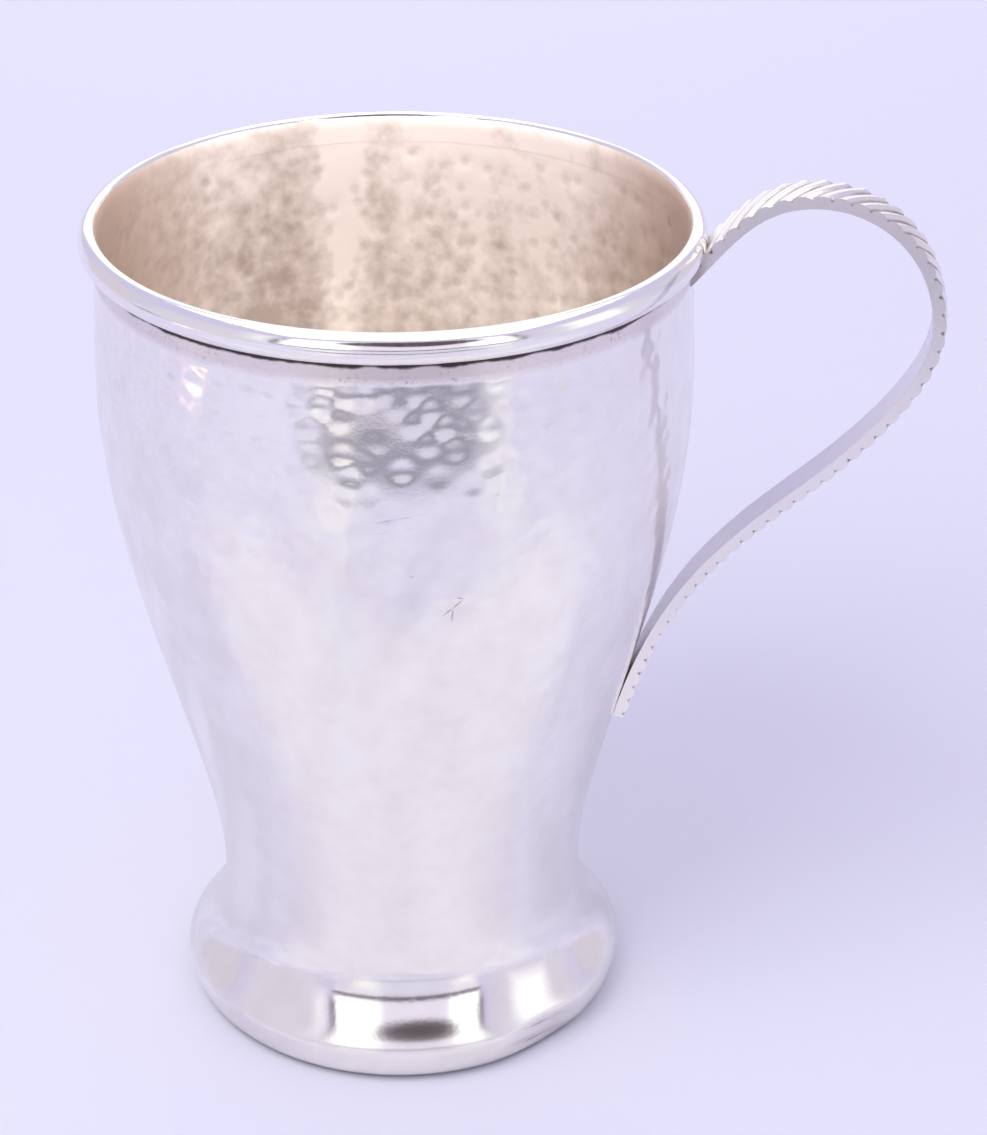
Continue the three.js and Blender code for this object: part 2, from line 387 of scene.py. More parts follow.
print("cards for the wall and the mouth:", len(table_cards))

# %% [markdown]
# ## Two soft lamps
# The dome alone gives no shadow. A large soft lamp from the left front gives the mug a faint one, and a
# second lamp far behind lifts the floor there. Both are area lamps, because a large source has a soft
# edge, and both are hidden from reflections, where the cards do that work.

# %% Hang the lamps
def soft_lamp(name, size, power, place, lamp_aim=None):
    """A square lamp that hangs level, or is turned to its aim, and shows in no reflection."""
    lamp = bpy.data.objects.new(name, bpy.data.lights.new(name, "AREA"))
    lamp.data.size = size * MM
    lamp.data.energy = power
    lamp.location = place * MM
    if lamp_aim:
        lamp.rotation_euler = (lamp_aim - place).to_track_quat("-Z", "Y").to_euler()
    lamp.visible_glossy = lamp.visible_camera = False
    SCENE.collection.objects.link(lamp)


KEY_PLACE = -210 * to_right + 230 * to_viewer + 480 * upwards
BACK_PLACE = -650 * to_viewer + 500 * upwards
soft_lamp("soft_key_light", 300, 0.8, KEY_PLACE, 40 * upwards)
soft_lamp("back_floor_light", 600, 0.85, BACK_PLACE)
print("lamps hang at", [[round(c) for c in place] for place in (KEY_PLACE, BACK_PLACE)], "mm")

# %% [markdown]
# ## Levels of the body
# A silversmith raises such a body from one flat disc: the wall is hammered in over stakes, course by
# course, until it stands up. The outline has four levels, foot, waist, belly and neck, where the wall runs
# straight up. The rim's sizes are read from the frame, so the wire will sit on the wall's edge.

# %% Levels of the body
WALL = 0.6
UNDERSIDE_RADIUS = 26.1
FOOT_RADIUS, FOOT_HEIGHT = 29.4, 4.8
WAIST_RADIUS, WAIST_HEIGHT = 23.9, 18.0
BELLY_RADIUS, BELLY_HEIGHT = 37.2, 89.0
NECK_RADIUS, NECK_HEIGHT = 36.6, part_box("rim_wire")[0].z / MM
RIM_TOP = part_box("rim_wire")[1].z / MM
MOUTH_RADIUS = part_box("rim_wire")[1].x / MM
print("neck at", round(NECK_HEIGHT, 2), "mm, rim at", round(RIM_TOP, 2), "mm")

# %% [markdown]
# ## From levels to an outline
# A smooth curve joins each level to the next. A Bezier curve with upright handles says just that: the
# length of a handle is how long the wall keeps its direction. So the outline is four such curves and not a
# list of points, and the first of them, with handles of 0.55, is the quarter round of the foot's edge.

# %% Stretches of the outline
ROUND_HANDLE = 0.5523
ABOVE_FOOT, BELOW_WAIST = 2.2, 8.5
ABOVE_WAIST, BELOW_BELLY = 17.5, 26.5
NECK_HANDLE = 6


def bezier(start, leave, arrive, end, t):
    """Point and heading of a cubic curve at each t, as radius and height."""
    p0, p1, p2, p3 = (np.array(p, float) for p in (start, leave, arrive, end))
    t = np.asarray(t, float)[:, None]
    point = (1 - t) ** 3 * p0 + 3 * (1 - t) ** 2 * t * p1 + 3 * (1 - t) * t**2 * p2 + t**3 * p3
    heading = (1 - t) ** 2 * (p1 - p0) + 2 * (1 - t) * t * (p2 - p1) + t**2 * (p3 - p2)
    return point, heading / np.linalg.norm(heading, axis=1)[:, None]


def stretch(low, above, high, below):
    """A curve that leaves the low level straight up and arrives at the high one straight up."""
    return low, (low[0], low[1] + above), (high[0], high[1] - below), high


foot, waist = (FOOT_RADIUS, FOOT_HEIGHT), (WAIST_RADIUS, WAIST_HEIGHT)
belly, neck = (BELLY_RADIUS, BELLY_HEIGHT), (NECK_RADIUS, NECK_HEIGHT)
edge_reach = UNDERSIDE_RADIUS + ROUND_HANDLE * (FOOT_RADIUS - UNDERSIDE_RADIUS)
edge_drop = (1 - ROUND_HANDLE) * FOOT_HEIGHT
STRETCHES = {
    "foot edge": ((UNDERSIDE_RADIUS, 0), (edge_reach, 0), (FOOT_RADIUS, edge_drop), foot),
    "foot": stretch(foot, ABOVE_FOOT, waist, BELOW_WAIST),
    "bowl": stretch(waist, ABOVE_WAIST, belly, BELOW_BELLY),
    "neck": stretch(belly, NECK_HANDLE, neck, NECK_HANDLE),
}
print("the outline has", len(STRETCHES), "stretches:", ", ".join(STRETCHES))

# %% [markdown]
# ## Rows up the wall
# The mesh needs close rows where hammer marks are seen near by, under the rim, and few where the wall is
# smooth. So each stretch has its own rows, given as shares of the curve or as heights. The inner face is
# the same outline moved in by the wall's thickness, square to the wall and not level.

# %% Rows of the outer and the inner face
FINE_FROM = 74


def wall_face(depth, rows):
    """Points up the wall at a depth below its outer face, at the stated shares or heights of each stretch."""
    points = []
    for name, marks in rows.items():
        t = np.asarray(marks)
        if np.max(marks) > 1:
            shares = np.linspace(0, 1, 400)
            t = np.interp(marks, bezier(*STRETCHES[name], shares)[0][:, 1], shares)
        point, heading = bezier(*STRETCHES[name], t[1 if points else 0 :])
        inward = np.stack([-heading[:, 1], heading[:, 0]], axis=1)
        points.extend(point + depth * inward)
    return np.array(points)


def steps(*marks):
    """Even rows between marks, each given as a place and the number of rows that lead up to it."""
    rows = [marks[0][0]]
    for (start, _), (end, count) in zip(marks, marks[1:]):
        rows += list(np.linspace(start, end, count + 1)[1:])
    return rows


OUTER_ROWS = {
    "foot edge": steps((0, 0), (1, 8)),
    "foot": steps((0, 0), (0.25, 4), (0.6, 15), (1, 7)),
    "bowl": steps((WAIST_HEIGHT, 0), (23, 4), (FINE_FROM, 56), (BELLY_HEIGHT, 30)),
    "neck": steps((BELLY_HEIGHT, 0), (NECK_HEIGHT, 37)),
}
INNER_ROWS = {
    "foot edge": steps((0, 0), (1, 2)),
    "foot": steps((0, 0), (1, 4)),
    "bowl": steps((WAIST_HEIGHT, 0), (70, 14), (BELLY_HEIGHT, 29)),
    "neck": steps((BELLY_HEIGHT, 0), (NECK_HEIGHT, 26)),
}
outer_face = wall_face(0, OUTER_ROWS)
inner_face = wall_face(WALL, INNER_ROWS)[::-1]
print("outer face", len(outer_face), "rows, inner face", len(inner_face), "rows")

# %% [markdown]
# ## Turning the outline into a sheet-metal shell
# The whole outline, underside, outer wall, upper edge, inner wall and inner floor, is turned about the
# upright axis. It could be spun with a Screw modifier, but writing the rings out gives each vertex a place
# to keep what the next steps ask for: which side of the metal it is on, and how hard that spot was struck.

# %% Spin the shell
TURN_SEGMENTS = 410
underside_rows = [(9, 0), (18, 0)]
floor_rows = [(17, WALL), (8, WALL)]
rings = np.array([*underside_rows, *outer_face, *inner_face, *floor_rows])
outer_count = len(underside_rows) + len(outer_face)


def spin(rings, segments):
    """Vertices and faces of closed rings about the Z axis, with a pole at each end."""
    angle = 2 * np.pi * np.arange(segments) / segments
    around = np.stack([np.cos(angle), np.sin(angle)], axis=1)
    ring_xy = rings[:, 0][:, None, None] * around[None]
    ring_z = np.repeat(rings[:, 1][:, None], segments, axis=1)
    points = np.concatenate([ring_xy, ring_z[:, :, None]], axis=2).reshape(-1, 3)
    poles = np.array([(0, 0, rings[0, 1]), (0, 0, rings[-1, 1])])
    first_pole, last_pole = len(points), len(points) + 1
    last_ring = (len(rings) - 1) * segments
    faces = []
    for j in range(segments):
        after = (j + 1) % segments
        faces.append((first_pole, after, j))
        faces.append((last_ring + j, last_ring + after, last_pole))
        for low in range(0, last_ring, segments):
            high = low + segments
            faces.append((low + j, low + after, high + after, high + j))
    return np.concatenate([points, poles]), faces


points, faces = spin(rings, TURN_SEGMENTS)
on_outside = np.append(np.repeat(np.arange(len(rings)) < outer_count, TURN_SEGMENTS), [True, False])
print("shell", len(points), "vertices,", len(faces), "faces")

# %% [markdown]
# ## Dent and collar
# The foot was knocked flat at one place on its lower edge, with a few creases in the flat, and just under
# the rim the wall keeps a narrow raised band where the solder ran. All are small shifts of the wall along
# its radius, so they are worked out for every vertex at once. The flat is what lies past a leaning plane.

# %% Shift the wall
DENT_TURN = math.radians(-42)
DENT_REACH, DENT_SLOPE, DENT_ROUNDING, DENT_TOP = 27.3, 0.3, 0.3, 14
CREASE_DEPTH, CREASE_PITCH, CREASE_TWIST = 0.16, 2.6, 4
COLLAR_FOOT, COLLAR_EDGE, COLLAR_STEP = 103.6, 104.1, 0.09


def ramp(value, start, end):
    """Goes smoothly from 0 at start to 1 at end."""
    t = np.clip((value - start) / (end - start), 0, 1)
    return t * t * (3 - 2 * t)


height = points[:, 2]
radius = np.hypot(points[:, 0], points[:, 1])
from_dent = np.arctan2(points[:, 1], points[:, 0]) - DENT_TURN
past_flat = radius * np.cos(from_dent) - (DENT_REACH + DENT_SLOPE * height)
dent = 0.5 * (past_flat + np.hypot(past_flat, DENT_ROUNDING)) * (height < DENT_TOP) * ramp(radius, 18, 26)
crease = CREASE_DEPTH * np.sin(math.tau / CREASE_PITCH * (height + CREASE_TWIST * from_dent))
crease *= ramp(dent, 0.1, 0.5)
collar = COLLAR_STEP * ramp(height, COLLAR_FOOT, COLLAR_EDGE) * on_outside
points[:, :2] *= (1 + (collar - dent + crease) / np.maximum(radius, 1))[:, None]
print("dent of", round(float(dent.max()), 2), "mm, collar from", COLLAR_FOOT, "mm up")

# %% [markdown]
# ## Where the hammer falls
# The foot was polished smooth and the collar can't be struck, so the blows fade out towards both. Each
# vertex keeps how hard its spot is struck as an attribute, one for the outside and one for the inside, and
# two more attributes say which side it is on. The Geometry Nodes tree further down reads them by name.

# %% Mark the struck places
STRIKE_FOOT, STRIKE_FULL = 24, 40
SOFT_BLOW = 0.75

shell_mesh = bpy.data.meshes.new("cup_shell")
shell_mesh.from_pydata((points * MM).tolist(), [], faces)
shell_mesh.shade_smooth()
shell = bpy.data.objects.new("cup_shell", shell_mesh)
SCENE.collection.objects.link(shell)

outside_struck = on_outside * ramp(height, STRIKE_FOOT, STRIKE_FULL) * (1 - ramp(height, 102.9, 103.7))
outside_struck *= SOFT_BLOW + (1 - SOFT_BLOW) * ramp(height, 70, 92)
inside_struck = ~on_outside * ramp(height, 20, 36) * (1 - ramp(height, 104.5, 106))
marks = {
    "outside": on_outside,
    "inside": ~on_outside,
    "outside_struck": outside_struck,
    "inside_struck": inside_struck,
}
for name, values in marks.items():
    shell_mesh.attributes.new(name, "FLOAT", "POINT").data.foreach_set("value", values.astype(np.float32))
print("struck outside:", int((outside_struck > 0).sum()), "of", len(points), "vertices")

# %% [markdown]
# ## The metals
# All of it is sterling silver, which is nearly white and only a little warm. What differs is the finish.
# The outside was planished with a polished hammer face and buffed, so it mirrors softly. The inside was
# never buffed and is satin and stained. The wire and the strip are drawn metal, with dirt in the grooves.
# The outside comes first: a faint cloudy tarnish, and a shine that changes with the height, best on the
# foot where it was polished and under the rim where it is seldom touched.

# %% Tarnish and shine outside
# Soft mirror with a faint cloud in it, smoother on the foot and dull on the solder collar.
SILVER, TARNISH = "#F8F5F3", "#F3EFED"
TARNISH_PATCH = 4
EVEN_SHINE = 0.11
# Each change of the roughness goes from a height to a height in mm, and from a value to a value.
SHINE_STEPS = ((5.5, 8.0, 0.12, 0), (9, 34, 0, 0.06), (80, 92, 0, -0.05))

planished, tree = new_material("planished sterling silver")
place = add_node(tree, PLACE, output="Object")
level = add_node(tree, PARTS, inputs={"Vector": place}, output="Z")
tarnish_size = {"Scale": 1 / (TARNISH_PATCH * MM), "Detail": 5, "Roughness": 0.6}
cloud = add_node(tree, NOISE, inputs={"Vector": place, **tarnish_size})
cloud = add_node(tree, RANGE, inputs={"Value": cloud, "From Min": 0.42, "From Max": 0.72})
roughness = EVEN_SHINE
for start, end, before, after in SHINE_STEPS:
    heights = {"From Min": start * MM, "From Max": end * MM, "To Min": before, "To Max": after}
    change = add_node(tree, RANGE, SMOOTH, {"Value": level, **heights})
    roughness = add_node(tree, MATH, ADD, {0: change, 1: roughness})
print("tarnish in clouds of", TARNISH_PATCH, "mm")

# %% [markdown]
# ## Solder, grime and painted shade
# Solder is duller than silver and pits as it cools, so the collar under the rim is rougher, greyer and
# grainy. Polish and soot stay in the corner under the wire, where no cloth reaches, and a painted shade under
# the wire's overhang darkens the same corner; both end in an uneven edge. A painted contact shadow darkens
# the crease on which the mug stands. Each is a share between 0 and 1 for a colour that is laid over the
# silver in the last of these cells.

# %% Solder collar and grime
# the dark colour of grime, pits and scratches, also used for the painted shade under the wire and the painted
# contact shadow at the foot
SOLDER, GRIME_AND_SHADE = "#DCD0D0", "#2E2A2C"
GRAIN, GRIME_SHADE_PATCH = 0.5, 5
GRIME_SHADE_EDGE, GRIME_SHADE_WAVE, GRIME_SHADE_FADE = 106.25, 1.6, 0.25
COLLAR_ROUGHNESS = 0.16

collar_heights = {"From Min": 103 * MM, "From Max": 104.4 * MM, "To Min": 0, "To Max": COLLAR_ROUGHNESS}
solder = add_node(tree, RANGE, SMOOTH, {"Value": level, **collar_heights})
roughness = add_node(tree, MATH, ADD, {0: roughness, 1: solder})
dulled = add_node(tree, MATH, TIMES, {0: solder, 1: 4.0})

# the uneven lower edge of the grime and painted shade under the wire's overhang
patch = add_node(tree, NOISE, inputs={"Vector": place, "Scale": 1 / (GRIME_SHADE_PATCH * MM), "Detail": 4})
edge = add_node(tree, MATH, TIMES_ADD, {0: patch, 1: -GRIME_SHADE_WAVE * MM, 2: GRIME_SHADE_EDGE * MM})
grime_and_shade = add_node(tree, MATH, SUBTRACT, {0: level, 1: edge})
grime_and_shade = add_node(tree, RANGE, inputs={"Value": grime_and_shade, "From Max": GRIME_SHADE_FADE * MM, "To Max": 0.95})
# painted contact shadow on the foot's lowest millimetre, where it meets the floor
contact_shadow_heights = {"From Min": 1.1 * MM, "From Max": 0.2 * MM, "To Max": 0.7}
painted_contact_shadow = add_node(tree, RANGE, inputs={"Value": level, **contact_shadow_heights})

grain = add_node(tree, NOISE, inputs={"Vector": place, "Scale": 1 / (GRAIN * MM), "Detail": 3})
pitted = add_node(tree, RANGE, inputs={"Value": grain, "From Min": 0.54, "From Max": 0.72})
pitted = add_node(tree, MATH, TIMES, {0: pitted, 1: dulled})
where = add_node(tree, RANGE, inputs={"Value": patch, "From Min": 0.45, "From Max": 0.65, "To Max": 0.7})
pitted = add_node(tree, MATH, TIMES, {0: pitted, 1: where})
print("grime from about", GRIME_SHADE_EDGE - GRIME_SHADE_WAVE / 2, "mm up")

# %% [markdown]
# ## Scratches
# A few thin scratches cross the front, two long ones near the hammer marks and a small branching one
# below. They are too fine for the mesh. Each is the inside of a long thin ellipsoid that cuts the wall: a
# Mapping node turns and shrinks it to a ball of radius 1, so that a distance from its centre is enough.

# %% Scratches on the front
# Each scratch runs from right and up to right and up, in mm on the front of the belly.
SCRATCHES = (
    (-3.2, 86.4, 3.7, 87.7),
    (-3.4, 84.9, 1.9, 85.8),
    (6.8, 75.8, 7.8, 75.5),
    (7.5, 75.5, 6.3, 74.4),
    (6.3, 74.4, 5.0, 73.3),
    (6.3, 74.3, 6.1, 72.3),
    (10.8, 89.0, 11.8, 89.1),
    (1.4, 79.2, 1.6, 79.2),
)
SCRATCH_WIDTH, SCRATCH_REACH = 0.3, 8

nearest = 2.0
for right_a, up_a, right_b, up_b in SCRATCHES:
    run = (right_b - right_a) * to_right + (up_b - up_a) * upwards
    middle = (right_a + right_b) / 2 * to_right + BELLY_RADIUS * to_viewer + (up_a + up_b) / 2 * upwards
    facing = Matrix((run.normalized(), to_viewer, run.normalized().cross(to_viewer))).transposed()
    ellipsoid = {
        "Location": middle * MM,
        "Rotation": facing.to_euler(),
        "Scale": Vector((run.length / 2 + 0.2, SCRATCH_REACH, SCRATCH_WIDTH / 2)) * MM,
    }
    inside = add_node(tree, "ShaderNodeMapping", {"vector_type": "TEXTURE"}, {"Vector": place, **ellipsoid})
    inside = add_node(tree, VECTOR, {"operation": "LENGTH"}, {0: inside}, output="Value")
    nearest = add_node(tree, MATH, {"operation": "MINIMUM"}, {0: inside, 1: nearest})
scratched = add_node(
    tree, RANGE, inputs={"Value": nearest, "From Min": 1.0, "From Max": 0.4, "To Max": 0.6}
)
scratched = add_node(tree, MATH, TIMES, {0: scratched, 1: cloud})
print("scratches:", len(SCRATCHES))

# %% [markdown]
# ## The outside put together
# Every layer of colour is mixed over the one before it, as dirt lies on tarnish and tarnish on metal, and the
# painted shade under the wire and the painted contact shadow at the foot are laid on in the same way. The
# grain also gives a slight bump, stronger on the collar. A metal has no colour of its own apart from what it
# mirrors, so all of this is the tint of its reflection.

# %% Mix the planished silver
colour = linear(SILVER)
layers = (
    (cloud, TARNISH),
    (dulled, SOLDER),
    # grime with painted shade under the wire
    (grime_and_shade, GRIME_AND_SHADE),
    (pitted, GRIME_AND_SHADE),
    # painted contact shadow at the foot
    (painted_contact_shadow, GRIME_AND_SHADE),
    (scratched, GRIME_AND_SHADE),
)
for share, tint in layers:
    colour = add_node(tree, MIX, COLOURS, {"Factor": share, 6: colour, 7: linear(tint)}, output=2)
pits = add_node(tree, MATH, TIMES_ADD, {0: solder, 1: 4.0, 2: 0.1})
relief = add_node(tree, "ShaderNodeBump", inputs={"Strength": pits, "Distance": 0.05 * MM, "Height": grain})
silver_look = {"Base Color": colour, "Metallic": 1.0, "Roughness": roughness, "Normal": relief}
metal = add_node(tree, METAL, inputs=silver_look)
add_node(tree, FINISH, inputs={"Surface": metal})
print(planished.name, "has", len(tree.nodes), "nodes")

# %% [markdown]
# ## Streaks inside
# The inside was wiped up and down but never buffed, so it has upright streaks, brighter where a cloth went
# often and dull between: a noise stretched along the height gives the streaks, and a finer one breaks them
# up. Painted light is laid on top: a few bright bands of painted reflection, set by their place across the
# view, and a painted brighter zone towards the mouth, where the light falls in.

# %% Streaks of the unbuffed silver
STREAK_WIDTH, STREAK_STRETCH, MOTTLE = 8, 0.12, 2.6
# Each band of painted reflection has its middle and half width in mm, and how much brighter it is.
PAINTED_REFLECTION_BANDS = ((-17, 6, -0.2), (-6.7, 5, 0.75), (3, 6, 0.15), (10, 5, 0.35), (20, 8, 0.4))
MOUTH_ZONE = {"From Min": 72 * MM, "From Max": 106 * MM, "To Min": -0.4, "To Max": 0.4}

unbuffed, tree = new_material("unbuffed sterling silver")
place = add_node(tree, PLACE, output="Object")
stretched = add_node(tree, "ShaderNodeMapping", inputs={"Vector": place, "Scale": (1, 1, STREAK_STRETCH)})
polish_and_painted_light = add_node(tree, NOISE, inputs={"Vector": stretched, "Scale": 1 / (STREAK_WIDTH * MM), "Detail": 2})
mottle_size = {"Scale": 1 / (MOTTLE * MM), "Detail": 3, "Roughness": 0.55}
mottle = add_node(tree, NOISE, inputs={"Vector": place, **mottle_size})
polish_and_painted_light = add_node(tree, MATH, TIMES_ADD, {0: mottle, 1: 1.6, 2: polish_and_painted_light})
right = add_node(tree, VECTOR, {"operation": "DOT_PRODUCT"}, {0: place, 1: to_right}, output="Value")
# painted reflection: bright upright bands at set places across the view
for middle, half_width, gain in PAINTED_REFLECTION_BANDS:
    beside = add_node(tree, MATH, SUBTRACT, {0: right, 1: middle * MM})
    beside = add_node(tree, MATH, {"operation": "ABSOLUTE"}, {0: beside})
    band = {"From Max": half_width * MM, "To Min": gain, "To Max": 0.0}
    painted_reflection = add_node(tree, RANGE, SMOOTH, {"Value": beside, **band})
    polish_and_painted_light = add_node(tree, MATH, ADD, {0: polish_and_painted_light, 1: painted_reflection})
level = add_node(tree, PARTS, inputs={"Vector": place}, output="Z")
# painted light: brighter towards the mouth
lit = add_node(tree, RANGE, inputs={"Value": level, **MOUTH_ZONE})
polish_and_painted_light = add_node(tree, MATH, ADD, {0: polish_and_painted_light, 1: lit})
polish_and_painted_light = add_node(tree, RANGE, inputs={"Value": polish_and_painted_light, "From Min": 0.85, "From Max": 1.85})
print("wiped bands:", len(PAINTED_REFLECTION_BANDS))

# %% [markdown]
# ## The tan of the inside
# Silver seen in silver looks tan, because each bounce from wall to wall takes a little blue away, and the
# stain of use adds to it. A renderer stops after a few bounces, so the tan is put into the colours here.
# The same goes for the dullness: a satin of metal and stain, with a low Metallic value, takes light from
# every side as the unbuffed wall does. A painted shade darkens the bottom of each hammer mark, and another
# darkens the inside towards the sides of the view, where less light falls.

# %% Mix the unbuffed silver
# Satin, warm and streaky, with painted shade towards the sides and in the hammer marks.
INSIDE_BRIGHT, INSIDE_DULL = "#F1E7DD", "#B6A79C"
INSIDE_SHADED_SIDE, INSIDE_MARK_SHADE = "#B6A191", "#9C8A82"

# painted shade towards the sides of the view
painted_side_shade = add_node(tree, MATH, {"operation": "ABSOLUTE"}, {0: right})
painted_side_shade = add_node(tree, RANGE, inputs={"Value": painted_side_shade, "From Min": 24 * MM, "From Max": 35 * MM})
blow = add_node(tree, "ShaderNodeAttribute", {"attribute_name": "blow"}, output="Fac")
# painted shade in the bottom of each hammer mark
darkening = add_node(tree, RANGE, SMOOTH, {"Value": blow, "From Min": 0.3, "From Max": 0.9, "To Max": 0.22})
colour = linear(INSIDE_DULL)
for share, tint in ((polish_and_painted_light, INSIDE_BRIGHT), (painted_side_shade, INSIDE_SHADED_SIDE), (darkening, INSIDE_MARK_SHADE)):
    colour = add_node(tree, MIX, COLOURS, {"Factor": share, 6: colour, 7: linear(tint)}, output=2)
metal = add_node(tree, METAL, inputs={"Base Color": colour, "Metallic": 0.3, "Roughness": 0.4})
add_node(tree, FINISH, inputs={"Surface": metal})
print(unbuffed.name, "has", len(tree.nodes), "nodes")

# %% [markdown]
# ## Working with Geometry Nodes
# What repeats or follows a path is made by a Geometry Nodes tree: the hammer marks, the wire and the reeded
# strip. A tree gets named inputs for its sizes, runs as a modifier, and its result is then turned into a
# plain mesh, because a finished piece should need no modifier. A modifier's input is known by an
# identifier and not by its name, so one helper looks it up.

# %% Helpers for Geometry Nodes
NAMED, STORE = "GeometryNodeInputNamedAttribute", "GeometryNodeStoreNamedAttribute"
COMPARE, MOVE = "FunctionNodeCompare", "GeometryNodeSetPosition"
REAL, COAT = "GeometryNodeRealizeInstances", "GeometryNodeSetMaterial"
ABOVE, BELOW = ({"data_type": "FLOAT", "operation": word} for word in ("GREATER_THAN", "LESS_THAN"))
FLOATS, VECTORS = ({"data_type": kind, "domain": "POINT"} for kind in ("FLOAT", "FLOAT_VECTOR"))
FLOAT, FLOAT_VECTOR = ({"data_type": kind} for kind in ("FLOAT", "FLOAT_VECTOR"))


def new_tree(name, sizes):
    """An empty tree with a geometry in and out, and the named inputs of the given kinds."""
    tree = bpy.data.node_groups.new(name, "GeometryNodeTree")
    tree.interface.new_socket("Geometry", in_out="INPUT", socket_type="NodeSocketGeometry")
    for label, kind in sizes.items():
        tree.interface.new_socket(label, in_out="INPUT", socket_type="NodeSocket" + kind)
    tree.interface.new_socket("Geometry", in_out="OUTPUT", socket_type="NodeSocketGeometry")
    return tree, tree.nodes.new("NodeGroupInput").outputs


def run_tree(obj, tree, values):
    """Adds the tree to an object as a modifier and sets its named inputs."""
    modifier = obj.modifiers.new(tree.name, "NODES")
    modifier.node_group = tree
    for item in tree.interface.items_tree:
        if item.in_out == "INPUT" and item.name in values:
            modifier[item.identifier] = values[item.name]


def finished_piece(source, name):
    """The evaluated result as a plain mesh object of that name, in place of its source."""
    evaluated = source.evaluated_get(bpy.context.evaluated_depsgraph_get())
    mesh = bpy.data.meshes.new_from_object(evaluated)
    mesh.name = name
    bpy.data.objects.remove(source)
    piece = bpy.data.objects.new(name, mesh)
    SCENE.collection.objects.link(piece)
    return piece


def triangles(piece):
    """How many triangles a piece has."""
    return sum(len(polygon.vertices) - 2 for polygon in piece.data.polygons)


print("trees run as modifiers and leave plain meshes")

# %% [markdown]
# ## Where the blows fall
# Planishing leaves thousands of shallow round dents, close together but never in rows. A noise texture
# would give waves and not dents. So the tree scatters blow points over the struck part of the sheet, no
# two closer than a set spacing, with a fixed seed. Every vertex then finds the blow nearest to it, and how
# hard that blow was.

# %% Tree for hammer blows, first half
TRIES_PER_SQUARE_METRE = 1.2e6

hammer_sizes = dict.fromkeys(("Spacing", "Blow radius", "Depth", "Lightest blow"), "Float")
hammer, given = new_tree(
    "hammer blows",
    {"Side": "String", "Struck": "String", **hammer_sizes, "Seed": "Int", "Finish": "Material"},
)
struck = add_node(hammer, NAMED, FLOAT, {"Name": given["Struck"]})
is_struck = add_node(hammer, COMPARE, ABOVE, {0: struck, 1: 0.02})
scatter = {
    "Mesh": given["Geometry"],
    "Selection": is_struck,
    "Distance Min": given["Spacing"],
    "Density Max": TRIES_PER_SQUARE_METRE,
    "Seed": given["Seed"],
}
blows = add_node(hammer, "GeometryNodeDistributePointsOnFaces", {"distribute_method": "POISSON"}, scatter)
away = add_node(
    hammer, "GeometryNodeProximity", {"target_element": "POINTS"}, {0: blows}, output="Distance"
)
which = add_node(hammer, "GeometryNodeSampleNearest", {"domain": "POINT"}, {"Geometry": blows})
force_range = {2: given["Lightest blow"], 3: 1.0, "ID": which, "Seed": given["Seed"]}
force = add_node(hammer, "FunctionNodeRandomValue", FLOAT, force_range, output=1)
print("first half of", hammer.name, "has", len(hammer.nodes), "nodes")

# %% [markdown]
# ## How deep they go
# A polished hammer face is slightly domed, so a dent is a shallow bowl: deepest in the middle, and one minus
# the square of the distance further out. The vertex sinks along its normal by that bowl, the force of the
# blow and how much its spot is struck. The bowl is kept as an attribute for the painted shade in the marks
# inside.

# %% Tree for hammer blows, second half
share = add_node(hammer, MATH, {"operation": "DIVIDE"}, {0: away, 1: given["Blow radius"]})
squared = add_node(hammer, MATH, TIMES, {0: share, 1: share})
bowl = add_node(hammer, MATH, {"operation": "SUBTRACT", "use_clamp": True}, {0: 1.0, 1: squared})
sunk = bowl
for amount in (force, struck, given["Depth"]):
    sunk = add_node(hammer, MATH, TIMES, {0: sunk, 1: amount})
normal = add_node(hammer, "GeometryNodeInputNormal")
inward = add_node(hammer, VECTOR, {"operation": "SCALE"}, {0: normal, "Scale": -1.0})
offset = add_node(hammer, VECTOR, {"operation": "SCALE"}, {0: inward, "Scale": sunk})
dented = add_node(hammer, MOVE, inputs={"Geometry": given["Geometry"], "Offset": offset})
hit = add_node(hammer, MATH, TIMES, {0: bowl, 1: struck})
kept_hit = {"Geometry": dented, "Selection": is_struck, "Name": "blow", "Value": hit}
dented = add_node(hammer, STORE, FLOATS, kept_hit)
real = add_node(hammer, REAL, inputs={"Geometry": dented})
side = add_node(hammer, NAMED, FLOAT, {"Name": given["Side"]})
coat = {"Geometry": real, "Selection": side, "Material": given["Finish"]}
add_node(hammer, "NodeGroupOutput", inputs={"Geometry": add_node(hammer, COAT, inputs=coat)})
print(hammer.name, "has", len(hammer.nodes), "nodes")

# %% [markdown]
# ## The body
# The same tree runs twice on the shell, once for the outside and once for the inside, with other sizes,
# another seed and another finish. Sharp corners, such as the wall's upper edge, are marked by their angle,
# so that smooth shading stops there.

# %% Hammer the body
SHARP_ANGLE = math.radians(50)
# Each side has its spacing, blow radius and depth in mm, its lightest blow, its seed and its finish.
HAMMERED_SIDES = {
    "outside": (2.3, 1.5, 0.1, 0.35, 4, planished),
    "inside": (1.7, 1.15, 0.16, 0.3, 9, unbuffed),
}

for side_name, (spacing, blow_radius, depth, lightest, seed, finish) in HAMMERED_SIDES.items():
    blow_values = {
        "Side": side_name,
        "Struck": side_name + "_struck",
        "Spacing": spacing * MM,
        "Blow radius": blow_radius * MM,
        "Depth": depth * MM,
        "Lightest blow": lightest,
        "Seed": seed,
        "Finish": finish,
    }
    run_tree(shell, hammer, blow_values)
body = finished_piece(shell, "hammered_body")
body.data.set_sharp_from_angle(angle=SHARP_ANGLE)
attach(body, "root")
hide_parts("cup_body")
print("hammered body:", triangles(body), "triangles")

# %% [markdown]
# ## The metal of the wire
# Wire is drawn through a plate, which leaves it bright and dense, and years of drinking and wiping keep it
# so. A fine speckle in the roughness and a very slight bump are enough, because the wire is thin and what
# counts is the clean line of light along it.

